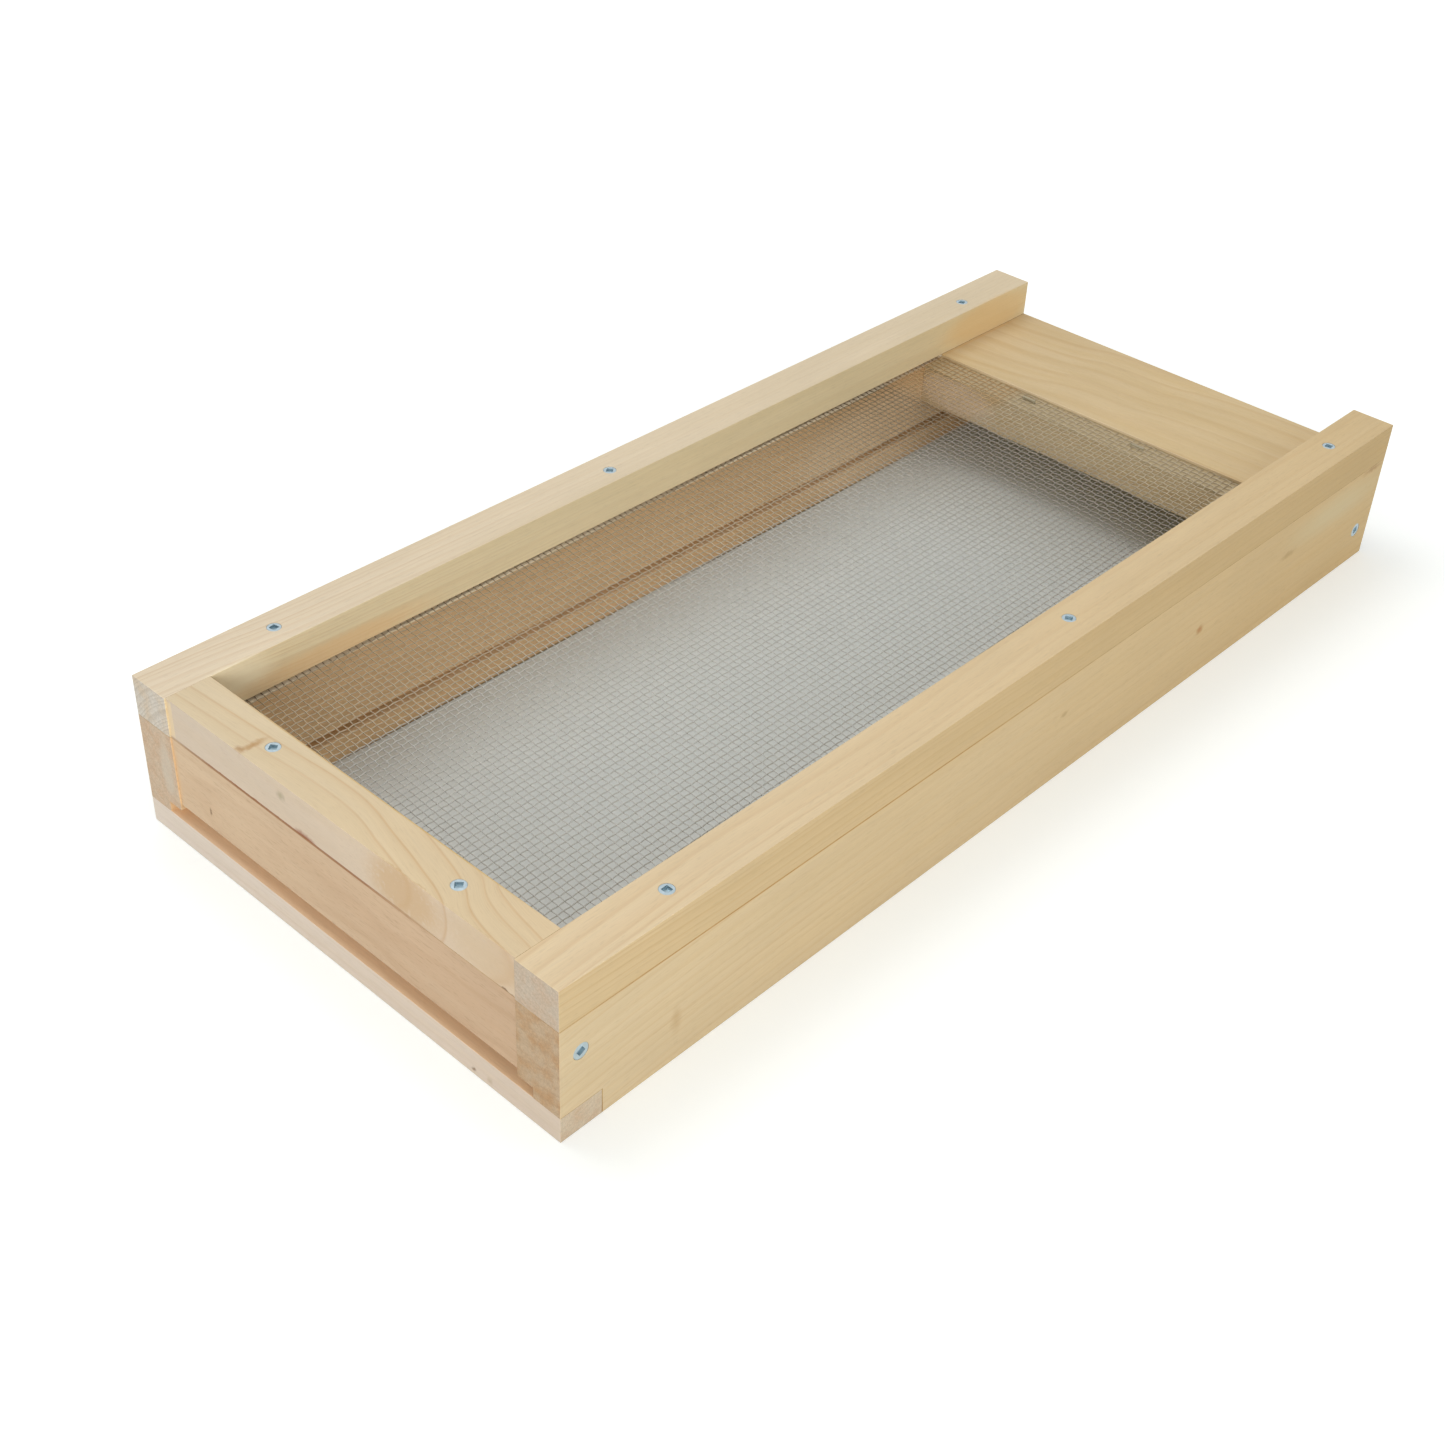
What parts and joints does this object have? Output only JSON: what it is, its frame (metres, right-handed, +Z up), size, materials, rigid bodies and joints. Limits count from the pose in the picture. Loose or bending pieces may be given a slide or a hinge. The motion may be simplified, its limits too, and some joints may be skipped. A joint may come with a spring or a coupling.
{
  "type": "screened bottom board",
  "caption": "Wooden beehive bottom board with side rails, a wire screen floor, a rear tray slot and a landing board at the entrance.",
  "frame": {"origin": "middle of the footprint, on the surface that the board stands on", "axes": "+Z up, +Y along the board to the bees' entrance, +X to the right when looking along +Y"},
  "size_m": [0.232, 0.534, 0.0695],
  "materials": {
    "cream_pine": "planed, unfinished, with straight orange grain",
    "golden_pine": "planed, unfinished",
    "pink_pine": "sawn, unfinished, fine grain",
    "pale_pine": "sawn, unfinished, pale",
    "galvanised_wire": "dull galvanised",
    "zinc_screw": "bright zinc plate",
    "staple_steel": "dull, lightly tarnished"
  },
  "bodies": {
    "root": {"left_side_board": "golden_pine", "right_side_board": "golden_pine", "left_top_rail": "cream_pine", "right_top_rail": "golden_pine", "rear_top_strip": "cream_pine", "rear_end_board": "pink_pine", "tray_sill": "pale_pine", "landing_board": "golden_pine", "front_end_board": "golden_pine", "wire_screen": "galvanised_wire", "left_rail_screw_1": "zinc_screw", "left_rail_screw_2": "zinc_screw", "left_rail_screw_3": "zinc_screw", "left_rear_side_screw": "zinc_screw", "left_front_side_screw": "zinc_screw", "left_sill_screw": "zinc_screw", "right_rail_screw_1": "zinc_screw", "right_rail_screw_2": "zinc_screw", "right_rail_screw_3": "zinc_screw", "right_rear_side_screw": "zinc_screw", "right_front_side_screw": "zinc_screw", "right_sill_screw": "zinc_screw", "rear_strip_screw_1": "zinc_screw", "rear_strip_screw_2": "zinc_screw", "landing_staple_1": "staple_steel", "landing_staple_2": "staple_steel", "rear_staple_1": "staple_steel", "rear_staple_2": "staple_steel", "left_staple_1": "staple_steel", "left_staple_2": "staple_steel", "left_staple_3": "staple_steel", "left_staple_4": "staple_steel", "right_staple_1": "staple_steel", "right_staple_2": "staple_steel", "right_staple_3": "staple_steel", "right_staple_4": "staple_steel"}
  },
  "joints": []
}
